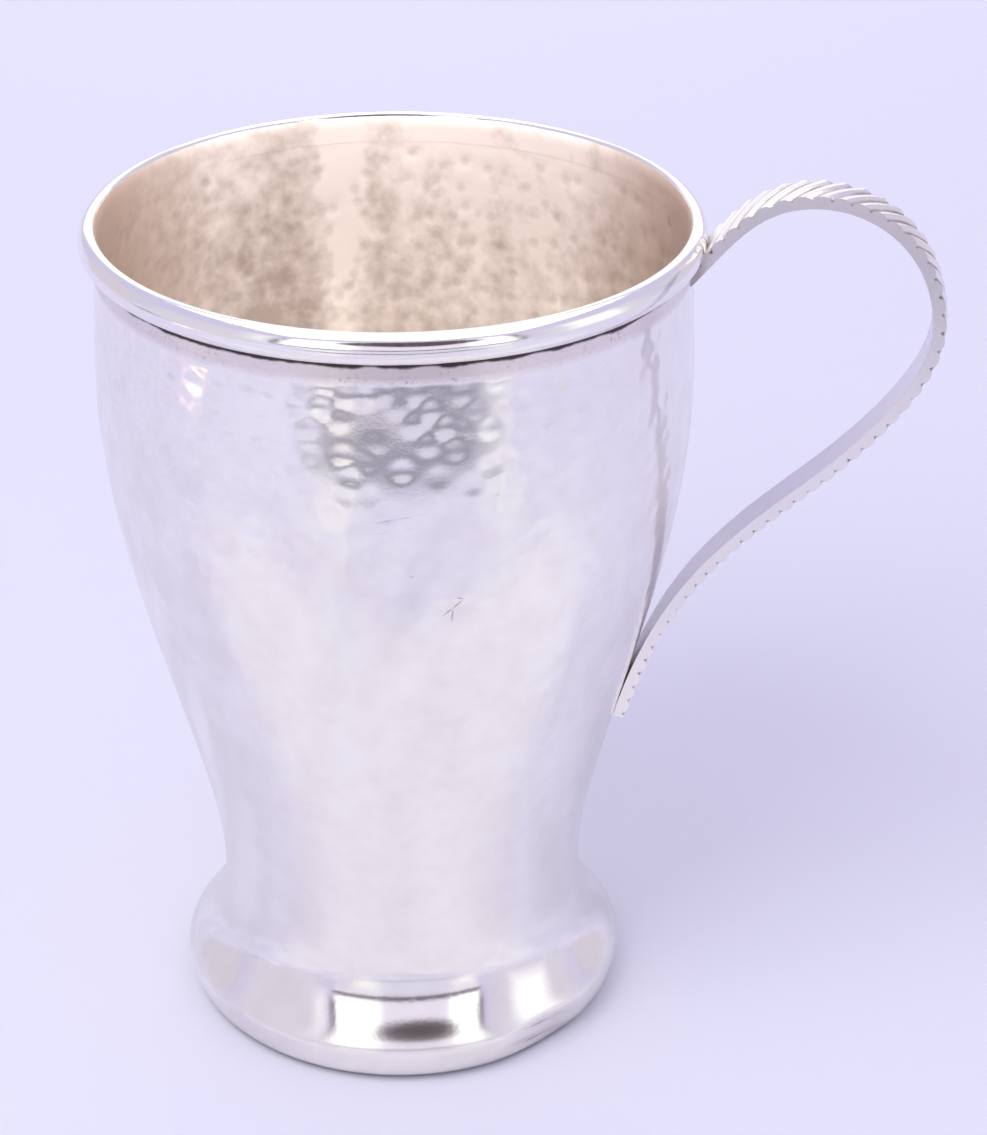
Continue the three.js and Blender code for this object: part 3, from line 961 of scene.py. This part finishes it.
# %% Polished wire
# Bright drawn silver, a clear mirror with a little grey in its low spots.
SPECK = 1.2
wire_silver, tree = new_material("polished silver wire")
place = add_node(tree, PLACE, output="Object")
speck = add_node(tree, NOISE, inputs={"Vector": place, "Scale": 1 / (SPECK * MM), "Detail": 4})
shine = {"From Min": 0.3, "From Max": 0.75, "To Min": 0.07, "To Max": 0.2}
roughness = add_node(tree, RANGE, inputs={"Value": speck, **shine})
relief = add_node(tree, "ShaderNodeBump", inputs={"Strength": 0.08, "Distance": 0.06 * MM, "Height": speck})
wire_look = {"Base Color": linear(SILVER), "Metallic": 1.0, "Roughness": roughness, "Normal": relief}
metal = add_node(tree, METAL, inputs=wire_look)
add_node(tree, FINISH, inputs={"Surface": metal})
print(wire_silver.name, "has", len(tree.nodes), "nodes")

# %% [markdown]
# ## Sweeping the rim wire
# A drawn wire, flat where it sits on the wall's edge and round outside, is bent to a ring and soldered on.
# A torus would be round on both sides. So the tree sweeps a circle round a circle, both of radius 1, and
# each vertex remembers its place on the two circles. The real form is made from those in the next step.

# %% Tree for the rim wire, first half
RING_STEPS, SECTION_STEPS = 320, 28
CIRCLE = "GeometryNodeCurvePrimitiveCircle"
rim_sizes = ("Seat radius", "Overhang", "Seat width", "Middle", "Half height", "Waver")
rim_coats = {"Finish": "Material", "Inner finish": "Material"}
rim_tree, given = new_tree("rim wire", {**dict.fromkeys(rim_sizes, "Float"), **rim_coats})
here = add_node(rim_tree, "GeometryNodeInputPosition")
ring = add_node(rim_tree, CIRCLE, inputs={"Resolution": RING_STEPS, "Radius": 1.0})
ring = add_node(rim_tree, STORE, VECTORS, {"Geometry": ring, "Name": "round", "Value": here})
oval = add_node(rim_tree, CIRCLE, inputs={"Resolution": SECTION_STEPS, "Radius": 1.0})
oval = add_node(rim_tree, STORE, VECTORS, {"Geometry": oval, "Name": "section", "Value": here})
swept = add_node(rim_tree, "GeometryNodeCurveToMesh", inputs={"Curve": ring, "Profile Curve": oval})
around = add_node(rim_tree, NAMED, FLOAT_VECTOR, {"Name": "round"})
section = add_node(rim_tree, NAMED, FLOAT_VECTOR, {"Name": "section"})
section_parts = add_node(rim_tree, PARTS, inputs={"Vector": section}).node
out, up = section_parts.outputs["X"], section_parts.outputs["Y"]
print("ring of", RING_STEPS, "steps, section of", SECTION_STEPS)

# %% [markdown]
# ## The section of the wire
# The outer half of the section becomes a half oval that overhangs the wall. The inner half is squeezed to
# the wall's thickness, and below its middle it runs straight down to the seat on the wall's edge. A reach
# from the axis and a rise above the floor then say where each vertex lies.

# %% Tree for the rim wire, second half
outer_half = add_node(rim_tree, MATH, {"operation": "MAXIMUM"}, {0: out, 1: 0.0})
inner_half = add_node(rim_tree, MATH, {"operation": "MINIMUM"}, {0: out, 1: 0.0})
is_inner = add_node(rim_tree, COMPARE, BELOW, {0: out, 1: -0.05})
is_low = add_node(rim_tree, COMPARE, BELOW, {0: up, 1: 0.0})
is_straight = add_node(rim_tree, "FunctionNodeBooleanMath", {"operation": "AND"}, {0: is_inner, 1: is_low})
straight = {"Switch": is_straight, "False": inner_half, "True": -1.0}
inner_half = add_node(rim_tree, "GeometryNodeSwitch", {"input_type": "FLOAT"}, straight)
reach = add_node(rim_tree, MATH, TIMES_ADD, {0: outer_half, 1: given["Overhang"], 2: given["Seat radius"]})
reach = add_node(rim_tree, MATH, TIMES_ADD, {0: inner_half, 1: given["Seat width"], 2: reach})
rise = add_node(rim_tree, MATH, TIMES_ADD, {0: up, 1: given["Half height"], 2: given["Middle"]})
spread = add_node(rim_tree, VECTOR, {"operation": "SCALE"}, {0: around, "Scale": reach})
lifted = add_node(rim_tree, "ShaderNodeCombineXYZ", inputs={"Z": rise})
true_place = add_node(rim_tree, VECTOR, ADD, {0: spread, 1: lifted})
is_inside = add_node(rim_tree, COMPARE, BELOW, {0: inner_half, 1: -0.6})
print(rim_tree.name, "has", len(rim_tree.nodes), "nodes so far")

# %% [markdown]
# ## Hand work in the wire
# No hand-made rim is quite true. A slow noise round the ring pulls the outer half of the wire a few
# hundredths of a millimetre out of place, and the seat stays where it is. The inner face gets the finish
# of the inside, because it was wiped and stained with it.

# %% Waver and coat the wire
waver = add_node(rim_tree, NOISE, inputs={"Vector": around, "Scale": 2.5}, output=1)
waver = add_node(rim_tree, VECTOR, SUBTRACT, {0: waver, 1: (0.5, 0.5, 0.5)})
swing = add_node(rim_tree, MATH, TIMES, {0: outer_half, 1: given["Waver"]})
waver = add_node(rim_tree, VECTOR, {"operation": "SCALE"}, {0: waver, "Scale": swing})
bent = add_node(rim_tree, MOVE, inputs={"Geometry": swept, "Position": true_place, "Offset": waver})
smooth = add_node(rim_tree, "GeometryNodeSetShadeSmooth", inputs={"Geometry": bent})
real = add_node(rim_tree, REAL, inputs={"Geometry": smooth})
coated = add_node(rim_tree, COAT, inputs={"Geometry": real, "Material": given["Finish"]})
inner_coat = {"Geometry": coated, "Selection": is_inside, "Material": given["Inner finish"]}
coated = add_node(rim_tree, COAT, inputs=inner_coat)
add_node(rim_tree, "NodeGroupOutput", inputs={"Geometry": coated})
print(rim_tree.name, "has", len(rim_tree.nodes), "nodes")

# %% [markdown]
# ## The rim soldered on
# The wire's sizes come from the frame: its seat is the neck of the body, its overhang reaches the mouth's
# full radius, and it sinks a little over the wall's edge as solder draws it down. A sweep can leave double
# points at its seam and faces that look inwards, so both are put right on the plain mesh.

# %% Solder the rim on
RIM_SINK, SEAT_GAP, RIM_WAVER = 0.4, 0.03, 0.2


def outward(piece):
    """Closes a finished piece's seams and turns its faces outwards."""
    work = bmesh.new()
    work.from_mesh(piece.data)
    bmesh.ops.remove_doubles(work, verts=work.verts, dist=0.001 * MM)
    bmesh.ops.recalc_face_normals(work, faces=work.faces)
    work.to_mesh(piece.data)
    work.free()


wire = bpy.data.objects.new("wire", bpy.data.meshes.new("wire"))
SCENE.collection.objects.link(wire)
rim_values = {
    "Seat radius": NECK_RADIUS * MM,
    "Overhang": (MOUTH_RADIUS - NECK_RADIUS) * MM,
    "Seat width": (WALL + SEAT_GAP) * MM,
    "Middle": (NECK_HEIGHT + RIM_TOP - RIM_SINK) / 2 * MM,
    "Half height": (RIM_TOP - NECK_HEIGHT + RIM_SINK) / 2 * MM,
    "Waver": RIM_WAVER * MM,
    "Finish": wire_silver,
    "Inner finish": unbuffed,
}
run_tree(wire, rim_tree, rim_values)
rim = finished_piece(wire, "rim_wire_ring")
outward(rim)
rim.data.set_sharp_from_angle(angle=SHARP_ANGLE)
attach(rim, "root")
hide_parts("rim_wire")
print("rim wire:", triangles(rim), "triangles")

# %% [markdown]
# ## A light for the mouth
# A mug is dark inside, because little of the room finds its way down to the wall. A photographer drops a
# small lamp's light through the mouth, with black foil round it so that the table stays as it is. Light
# linking does the work of the foil: the spot falls on the body and the wire, and on nothing else.

# %% Light the inside
MOUTH_LIGHT_PLACE = 60 * to_right + 215 * to_viewer + 480 * upwards
MOUTH_LIGHT_AIM = RIM_TOP * upwards
MOUTH_LIGHT_POWER = 13
MOUTH_LIGHT_CONE = math.radians(16)
MOUTH_LIGHT_SIZE = 8

mouth_light = bpy.data.objects.new("mouth_light", bpy.data.lights.new("mouth_light", "SPOT"))
mouth_light.data.energy = MOUTH_LIGHT_POWER
mouth_light.data.color = linear("#FFFAF4")[:3]
mouth_light.data.spot_size = MOUTH_LIGHT_CONE
mouth_light.data.shadow_soft_size = MOUTH_LIGHT_SIZE * MM
mouth_light.location = MOUTH_LIGHT_PLACE * MM
mouth_light.rotation_euler = (MOUTH_LIGHT_AIM - MOUTH_LIGHT_PLACE).to_track_quat("-Z", "Y").to_euler()
mouth_light.visible_glossy = False
SCENE.collection.objects.link(mouth_light)
lit_pieces = bpy.data.collections.new("lit_through_the_mouth")
for piece in (body, rim):
    lit_pieces.objects.link(piece)
mouth_light.light_linking.receiver_collection = lit_pieces

# %% [markdown]
# ## The metal of the strip
# The strip's reeds are worn white on their crests and keep dirt in their grooves, and soot and flux stay
# where it was soldered under the rim, darkened further by a painted shadow under the joint. Its plain inner
# face is a grey satin with painted shade, where it faces the shaded side of the mug. The grooves and the
# inner face reach the material as attributes, which the tree of the strip stores on the mesh.

# %% Reeded silver
# White crests worn bright, grey-brown dirt in the grooves, and a satin grey of painted shade on the plain
# inner face.
STRIP_EDGE, GROOVE_DIRT, INNER_PAINTED_SHADE = "#F4EFEF", "#6E655F", "#D8D4DE"
DIRT_PATCH = 4
JOINT_FROM = 95
JOINT_SOOT_AND_SHADE = {"From Min": 37.4 * MM, "From Max": 39.4 * MM, "To Min": 0.6, "To Max": 0}

reeded, tree = new_material("reeded silver strip")
place = add_node(tree, PLACE, output="Object")
groove = add_node(tree, "ShaderNodeAttribute", {"attribute_name": "groove"}, output="Fac")
patchy = add_node(tree, NOISE, inputs={"Vector": place, "Scale": 1 / (DIRT_PATCH * MM), "Detail": 3})
darkening = add_node(tree, MATH, TIMES, {0: groove, 1: patchy})
darkening = add_node(tree, RANGE, inputs={"Value": darkening, "From Min": 0.18, "From Max": 0.5})
level_place = add_node(tree, VECTOR, TIMES, {0: place, 1: (1, 1, 0)})
from_axis = add_node(tree, VECTOR, {"operation": "LENGTH"}, {0: level_place}, output="Value")
above = add_node(tree, PARTS, inputs={"Vector": place}, output="Z")
above = add_node(tree, MATH, {"operation": "GREATER_THAN"}, {0: above, 1: JOINT_FROM * MM})
# soot at the joint, with a painted shadow under it, darkens the strip close to the wall
joint_soot_and_shade = add_node(tree, RANGE, inputs={"Value": from_axis, **JOINT_SOOT_AND_SHADE})
joint_soot_and_shade = add_node(tree, MATH, TIMES, {0: joint_soot_and_shade, 1: above})
darkening = add_node(tree, MATH, {"operation": "ADD", "use_clamp": True}, {0: darkening, 1: joint_soot_and_shade})
plain_back = add_node(tree, "ShaderNodeAttribute", {"attribute_name": "plain_back"}, output="Fac")
colour = linear(STRIP_EDGE)
# the plain inner face is mixed to a grey of painted shade
for share, tint in ((darkening, GROOVE_DIRT), (plain_back, INNER_PAINTED_SHADE)):
    colour = add_node(tree, MIX, COLOURS, {"Factor": share, 6: colour, 7: linear(tint)}, output=2)
roughness = add_node(tree, RANGE, inputs={"Value": darkening, "To Min": 0.2, "To Max": 0.5})
bare = add_node(tree, RANGE, inputs={"Value": plain_back, "To Min": 1.0, "To Max": 0.3})
strip_look = {"Base Color": colour, "Metallic": bare, "Roughness": roughness}
metal = add_node(tree, METAL, inputs=strip_look)
add_node(tree, FINISH, inputs={"Surface": metal})
print(reeded.name, "has", len(tree.nodes), "nodes")

# %% [markdown]
# ## The bend of the handle
# The strip leaves the rim upwards, turns over in a wide loop, sweeps back to the wall and lies along it
# for its last stretch. A smith bends it round a few formers, so the bend is given by a few knots, each
# with its heading and how far the strip runs straight before and after, joined by the same Bezier curve
# as the body's outline. The last knot is worked out from the wall, so that the tail lies flat on it.

# %% Bend the path of the strip
TAIL_HEIGHT, TAIL_RUN, TAIL_SINK = 42.5, 20, 0.1
BEND_STEPS = 60


def wall_radius(at_height):
    """Radius of the body's outer face at a height between waist and belly."""
    bowl_points, _ = bezier(*STRETCHES["bowl"], np.linspace(0, 1, 400))
    return float(np.interp(at_height, bowl_points[:, 1], bowl_points[:, 0]))


tail_reach = wall_radius(TAIL_HEIGHT) - TAIL_SINK
tail_heading = math.degrees(math.atan2(-1, wall_radius(TAIL_HEIGHT - 1) - wall_radius(TAIL_HEIGHT)))
# Each knot has its reach from the axis, height, heading, and straight run before and after it.
KNOTS = (
    (35.5, 102.0, 46, 0, 7.5),
    (51.5, 113.8, 0, 8, 7.4),
    (65.8, 98.6, -90, 9.3, 7),
    (51.4, 77.5, -138, 7.4, 13),
    (tail_reach, TAIL_HEIGHT, tail_heading, TAIL_RUN, 0),
)
bend = []
for (x0, z0, a0, _, run_out), (x1, z1, a1, run_in, _) in zip(KNOTS, KNOTS[1:]):
    a0, a1 = math.radians(a0), math.radians(a1)
    leave = (x0 + run_out * math.cos(a0), z0 + run_out * math.sin(a0))
    arrive = (x1 - run_in * math.cos(a1), z1 - run_in * math.sin(a1))
    shares = np.linspace(0, 1, BEND_STEPS + 1)[1 if bend else 0 :]
    bend.extend(bezier((x0, z0), leave, arrive, (x1, z1), shares)[0])

path = bpy.data.curves.new("strip_path", "CURVE")
path.dimensions = "3D"
spline = path.splines.new("POLY")
spline.points.add(len(bend) - 1)
for point, (reach, rise) in zip(spline.points, bend):
    point.co = (reach * MM, 0, rise * MM, 1)
strip = bpy.data.objects.new("strip_path", path)
SCENE.collection.objects.link(strip)
print("handle bend:", len(bend), "points")

# %% [markdown]
# ## Sweeping the strip
# The handle is a strip with slanting reeds on its outer face, like a flattened rope, and a plain inner
# face. It was rolled flat and then bent, so the mesh is made the same way: the tree sweeps a rectangle
# along the bend, and each vertex remembers how far along the strip it lies, where the bend runs there, and
# its place in the rectangle.

# %% Tree for the reeded strip, first part
SECTION_CUTS = 15
strip_sizes = ("Width", "Thickness", "Crown", "Reed height", "Reed pitch", "Reed lean", "Step", "Wall radius")
strip_tree, given = new_tree("reeded strip", {**dict.fromkeys(strip_sizes, "Float"), "Finish": "Material"})
even_steps = {"Curve": given["Geometry"], "Length": given["Step"]}
bend_curve = add_node(strip_tree, "GeometryNodeResampleCurve", {"mode": "LENGTH"}, even_steps)
length_so_far = add_node(strip_tree, "GeometryNodeSplineParameter", output="Length")
tangent = add_node(strip_tree, "GeometryNodeInputTangent")
here = add_node(strip_tree, "GeometryNodeInputPosition")
for name, kind, value in (
    ("along", FLOATS, length_so_far),
    ("heading", VECTORS, tangent),
    ("at", VECTORS, here),
):
    bend_curve = add_node(strip_tree, STORE, kind, {"Geometry": bend_curve, "Name": name, "Value": value})
rectangle = add_node(
    strip_tree, "GeometryNodeCurvePrimitiveQuadrilateral", inputs={"Width": 1.0, "Height": 1.0}
)
finer = {"Curve": rectangle, "Cuts": SECTION_CUTS}
rectangle = add_node(strip_tree, "GeometryNodeSubdivideCurve", inputs=finer)
rectangle = add_node(strip_tree, STORE, VECTORS, {"Geometry": rectangle, "Name": "section", "Value": here})
sweep = {"Curve": bend_curve, "Profile Curve": rectangle, "Fill Caps": True}
swept = add_node(strip_tree, "GeometryNodeCurveToMesh", inputs=sweep)
along = add_node(strip_tree, NAMED, FLOAT, {"Name": "along"})
heading, at, section = (
    add_node(strip_tree, NAMED, FLOAT_VECTOR, {"Name": name}) for name in ("heading", "at", "section")
)
section_parts = add_node(strip_tree, PARTS, inputs={"Vector": section}).node
across_share, out_share = section_parts.outputs["X"], section_parts.outputs["Y"]
print("first part of", strip_tree.name, "has", len(strip_tree.nodes), "nodes")

# %% [markdown]
# ## The reeds
# A reed is one hump of a sine, without its sign, raised to a power below one so that the crest is round
# and the groove narrow. Its phase is the length along the strip less a share of the place across it, which
# makes the reeds slant. They stand on a slightly crowned face and fade to nothing over the strip's edge.

# %% Tree for the reeded strip, second part
GROOVE_SHARPNESS = 0.7
across = add_node(strip_tree, MATH, TIMES, {0: across_share, 1: given["Width"]})
on_reeds = add_node(strip_tree, RANGE, SMOOTH, {"Value": out_share, "From Min": 0.1, "From Max": 0.5})
leaned = add_node(strip_tree, MATH, TIMES, {0: across, 1: given["Reed lean"]})
phase = add_node(strip_tree, MATH, SUBTRACT, {0: along, 1: leaned})
phase = add_node(strip_tree, MATH, {"operation": "DIVIDE"}, {0: phase, 1: given["Reed pitch"]})
phase = add_node(strip_tree, MATH, TIMES, {0: phase, 1: math.pi})
wave = add_node(strip_tree, MATH, {"operation": "SINE"}, {0: phase})
wave = add_node(strip_tree, MATH, {"operation": "ABSOLUTE"}, {0: wave})
crest = add_node(strip_tree, MATH, {"operation": "POWER"}, {0: wave, 1: GROOVE_SHARPNESS})
reed = add_node(strip_tree, MATH, TIMES, {0: crest, 1: given["Reed height"]})
crown = add_node(strip_tree, MATH, TIMES, {0: across_share, 1: across_share})
crown = add_node(strip_tree, MATH, TIMES_ADD, {0: crown, 1: -4.0, 2: 1.0})
lift = add_node(strip_tree, MATH, TIMES_ADD, {0: crown, 1: given["Crown"], 2: reed})
lift = add_node(strip_tree, MATH, TIMES, {0: lift, 1: on_reeds})
dirty = add_node(strip_tree, MATH, SUBTRACT, {0: 1.0, 1: crest})
dirty = add_node(strip_tree, MATH, TIMES, {0: dirty, 1: on_reeds})
print(strip_tree.name, "has", len(strip_tree.nodes), "nodes so far")

# %% [markdown]
# ## Bending the strip
# Now each vertex goes to its real place: from its point on the bend, outwards by the thickness and the
# reed, and sideways by its place across. Outwards is square to both the heading and the sideways axis, so
# a cross product gives it. The grooves and the inner face are stored here for the material.

# %% Tree for the reeded strip, third part
out = add_node(strip_tree, MATH, ADD, {0: out_share, 1: 0.5})
out = add_node(strip_tree, MATH, TIMES_ADD, {0: out, 1: given["Thickness"], 2: lift})
outwards = add_node(strip_tree, VECTOR, {"operation": "CROSS_PRODUCT"}, {0: heading, 1: (0, 1, 0)})
outwards = add_node(strip_tree, VECTOR, {"operation": "SCALE"}, {0: outwards, "Scale": out})
sideways = add_node(strip_tree, "ShaderNodeCombineXYZ", inputs={"Y": across})
placed = add_node(strip_tree, VECTOR, ADD, {0: at, 1: outwards})
placed = add_node(strip_tree, VECTOR, ADD, {0: placed, 1: sideways})
bent = add_node(strip_tree, MOVE, inputs={"Geometry": swept, "Position": placed})
is_back = add_node(strip_tree, COMPARE, BELOW, {0: out_share, 1: -0.49})
for name, value in (("groove", dirty), ("plain_back", is_back)):
    bent = add_node(strip_tree, STORE, FLOATS, {"Geometry": bent, "Name": name, "Value": value})
print(strip_tree.name, "has", len(strip_tree.nodes), "nodes so far")

# %% [markdown]
# ## Fitting the upper end
# Before soldering, the smith files the strip's end to the round of the wall. Here every vertex of the
# upper end that would lie inside the wall is pushed out to it, level and away from the axis. A boolean cut
# would do it too, but would leave a ragged mesh.

# %% File the upper end and close the tree
height_here = add_node(strip_tree, PARTS, inputs={"Vector": here}, output="Z")
level_spot = add_node(strip_tree, VECTOR, TIMES, {0: here, 1: (1, 1, 0)})
from_axis = add_node(strip_tree, VECTOR, {"operation": "LENGTH"}, {0: level_spot}, output="Value")
short_by = add_node(strip_tree, MATH, SUBTRACT, {0: given["Wall radius"], 1: from_axis})
short_by = add_node(strip_tree, MATH, {"operation": "MAXIMUM"}, {0: short_by, 1: 0.0})
is_upper = add_node(strip_tree, COMPARE, ABOVE, {0: height_here, 1: BELLY_HEIGHT * MM})
out_of_cup = add_node(strip_tree, VECTOR, {"operation": "NORMALIZE"}, {0: level_spot})
out_of_cup = add_node(strip_tree, VECTOR, {"operation": "SCALE"}, {0: out_of_cup, "Scale": short_by})
filed = add_node(strip_tree, MOVE, inputs={"Geometry": bent, "Selection": is_upper, "Offset": out_of_cup})
smooth = add_node(strip_tree, "GeometryNodeSetShadeSmooth", inputs={"Geometry": filed})
real = add_node(strip_tree, REAL, inputs={"Geometry": smooth})
coated = add_node(strip_tree, COAT, inputs={"Geometry": real, "Material": given["Finish"]})
add_node(strip_tree, "NodeGroupOutput", inputs={"Geometry": coated})
print(strip_tree.name, "has", len(strip_tree.nodes), "nodes")

# %% [markdown]
# ## The handle soldered on
# The strip is a good millimetre thick and 5.6 mm wide, and its reeds slant at 39 degrees, which the pitch
# along the strip and the lean across it give. Steps of 0.16 mm along the bend are fine enough for the
# crests to be seen as round.

# %% Bend and solder the handle
REED_SLANT = math.radians(39)
SOLDER_DEPTH = 0.15
strip_values = {
    "Width": 5.6 * MM,
    "Thickness": 1.15 * MM,
    "Crown": 0.12 * MM,
    "Reed height": 0.5 * MM,
    "Reed pitch": 2.2 * MM,
    "Reed lean": math.tan(REED_SLANT),
    "Step": 0.16 * MM,
    "Wall radius": (NECK_RADIUS - SOLDER_DEPTH) * MM,
    "Finish": reeded,
}
run_tree(strip, strip_tree, strip_values)
handle = finished_piece(strip, "reeded_handle")
outward(handle)
handle.data.set_sharp_from_angle(angle=SHARP_ANGLE)
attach(handle, "root")
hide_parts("handle")
print("handle:", triangles(handle), "triangles")
